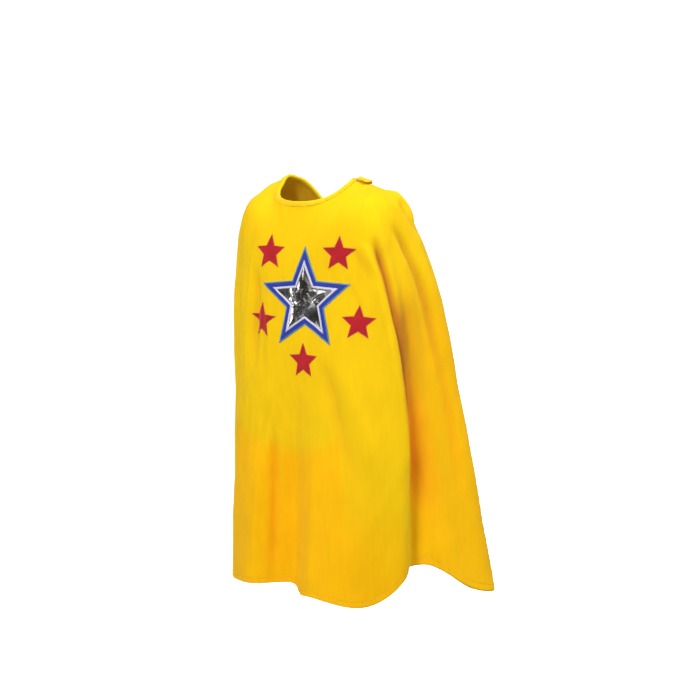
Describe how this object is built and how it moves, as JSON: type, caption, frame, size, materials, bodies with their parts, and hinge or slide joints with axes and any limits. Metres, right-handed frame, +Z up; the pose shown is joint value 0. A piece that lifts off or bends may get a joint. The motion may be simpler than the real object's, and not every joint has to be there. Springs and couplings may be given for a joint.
{
  "type": "child's superhero cape",
  "caption": "Child's hanging velour cape with a starred back, a bound neckline and a hook-and-loop neck strap that closes on the right shoulder.",
  "frame": {"origin": "middle of the neck opening, level with the neck end of the shoulders", "axes": "+Z up, +X to the wearer's right, +Y the way the wearer faces, so the starred back faces -Y"},
  "size_m": [0.418, 0.2835, 0.6485],
  "materials": {
    "yellow_velour": "short-pile velour with a soft sheen",
    "yellow_thread": "matt polyester thread",
    "label_tape": "woven satin tape, blank",
    "loop_tape": "brushed loop tape",
    "hook_tape": "moulded hook tape",
    "blue_cloth": "brushed polyester cloth",
    "light_blue_satin": "dense satin stitch",
    "silver_foil_cloth": "crinkled metallic foil on cloth",
    "grey_satin": "dense satin stitch",
    "red_cloth": "brushed polyester cloth",
    "red_satin": "dense satin stitch",
    "white_interfacing": "non-woven interfacing"
  },
  "bodies": {
    "cape": {"cape_shell": "yellow_velour", "neck_binding": "yellow_velour", "binding_stitching": "yellow_thread", "care_label": "label_tape", "hem_stitching": "yellow_thread", "left_edge_stitching": "yellow_thread", "right_edge_stitching": "yellow_thread", "strap_root": "yellow_velour", "loop_patch": "loop_tape", "strap_root_stitching": "yellow_thread", "blue_star": "blue_cloth", "blue_star_edging": "light_blue_satin", "silver_star": "silver_foil_cloth", "silver_border": "grey_satin", "star_backing": "white_interfacing", "red_star_1": "red_cloth", "red_star_edging_1": "red_satin", "red_star_2": "red_cloth", "red_star_edging_2": "red_satin", "red_star_3": "red_cloth", "red_star_edging_3": "red_satin", "red_star_4": "red_cloth", "red_star_edging_4": "red_satin", "red_star_5": "red_cloth", "red_star_edging_5": "red_satin"},
    "neck_strap": {"neck_strap": "yellow_velour", "hook_patch": "hook_tape", "strap_stitching": "yellow_thread"}
  },
  "joints": [
    {"name": "strap_open", "type": "hinge", "parent": "cape", "child": "neck_strap", "pos_m": [-0.02904, 0.06253, -0.03312], "axis": [0.2719, -0.5876, 0.7621], "range_deg": [0, 150]}
  ]
}
